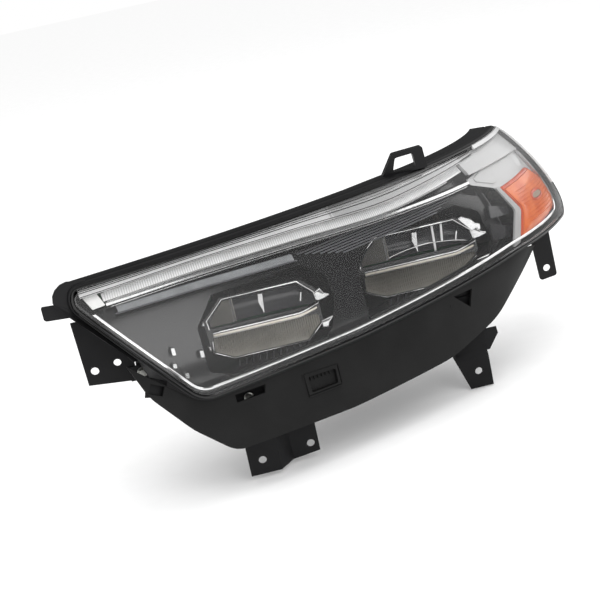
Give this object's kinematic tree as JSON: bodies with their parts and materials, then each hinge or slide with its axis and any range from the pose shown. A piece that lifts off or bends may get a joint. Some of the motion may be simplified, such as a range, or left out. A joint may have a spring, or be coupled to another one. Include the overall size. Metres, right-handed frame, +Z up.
{
  "type": "car headlight assembly",
  "caption": "Left-hand swept car headlight with twin light modules, running light strip, amber turn lamp, tilting aim carrier and screwed mounting brackets.",
  "frame": {"origin": "rear face of the inboard mounting plate, midway between its two bolt holes", "axes": "+X towards the side of the car along the lamp's length, +Y towards the back of the car, out of the mounting face, +Z up"},
  "size_m": [0.6897, 0.4387, 0.3113],
  "materials": {
    "black_plastic": "fine-textured moulded polypropylene",
    "gloss_black": "gloss black moulded mask",
    "clear_lens": "clear hard-coated polycarbonate",
    "bulb_glass": "clear bulb glass",
    "light_guide": "frosted clear light guide",
    "chrome": "vacuum-metallised reflector",
    "silver_paint": "satin silver",
    "amber": "amber moulded lens",
    "white_plastic": "white light box",
    "grey_plastic": "grey moulded window",
    "circuit_board": "solder-masked circuit board",
    "zinc_steel": "zinc-plated steel",
    "aluminium": "die-cast aluminium",
    "rubber": "moulded rubber",
    "nylon": "natural nylon",
    "terminal_brass": "plated brass terminals"
  },
  "bodies": {
    "root": {"housing": "black_plastic", "lens_cover": "clear_lens", "lens_seal": "rubber", "bezel": "gloss_black", "trim_line": "chrome", "drl_light_guide": "light_guide", "drl_reflector": "chrome", "drl_lower_guide": "light_guide", "drl_end_block": "white_plastic", "drl_led_board": "circuit_board", "turn_bezel": "silver_paint", "amber_lens": "amber", "side_marker_window": "grey_plastic", "inboard_ball_stud": "nylon", "outboard_ball_stud": "nylon", "aim_screw_bush": "nylon", "vent_cap_1": "rubber", "vent_cap_2": "rubber", "driver_gasket": "rubber", "led_driver": "aluminium", "driver_screw_1": "zinc_steel", "driver_screw_2": "zinc_steel", "driver_screw_3": "zinc_steel", "driver_screw_4": "zinc_steel", "connector_socket": "black_plastic", "connector_terminals": "terminal_brass", "lower_skirt": "black_plastic", "inboard_plate": "black_plastic", "inboard_plate_screw": "zinc_steel", "lower_inboard_bracket": "black_plastic", "lower_inboard_screw": "zinc_steel", "lower_outboard_bracket": "black_plastic", "lower_outboard_screw": "zinc_steel"},
    "carrier": {"carrier_frame": "black_plastic", "aim_nut": "nylon", "inboard_module_hood": "gloss_black", "inboard_module_upper_reflector": "chrome", "inboard_module_lower_reflector": "chrome", "inboard_module_light_blade": "light_guide", "inboard_module_led_board": "circuit_board", "inboard_module_heat_sink": "aluminium", "outboard_module_hood": "gloss_black", "outboard_module_upper_reflector": "chrome", "outboard_module_lower_reflector": "chrome", "outboard_module_light_blade": "light_guide", "outboard_module_led_board": "circuit_board", "outboard_module_heat_sink": "aluminium"},
    "aim_screw": {"aim_screw": "zinc_steel"},
    "turn_holder": {"turn_bulb_holder": "black_plastic", "turn_bulb": "bulb_glass"},
    "cap": {"access_cap": "black_plastic", "access_cap_seal": "rubber"}
  },
  "joints": [
    {"name": "carrier_tilt", "type": "hinge", "parent": "root", "child": "carrier", "pos_m": [0.31382, 0.22007, 0.066], "axis": [0.8746, 0.4848, 0], "range_deg": [-1, 1]},
    {"name": "aim_screw_turn", "type": "hinge", "parent": "root", "child": "aim_screw", "pos_m": [0.39183, 0.2959, -0.052], "axis": [-0.4848, 0.8746, 0], "range_deg": [-505, 505]},
    {"name": "turn_holder_twist", "type": "hinge", "parent": "root", "child": "turn_holder", "pos_m": [0.50641, 0.35941, 0.022], "axis": [-0.4848, 0.8746, 0], "range_deg": [0, 45]},
    {"name": "cap_twist", "type": "hinge", "parent": "root", "child": "cap", "pos_m": [0.18805, 0.18294, 0], "axis": [-0.4848, 0.8746, 0], "range_deg": [0, 30]}
  ],
  "couplings": [
    {"joint": "aim_screw_turn", "follows": "carrier_tilt", "ratio": -494.28}
  ]
}
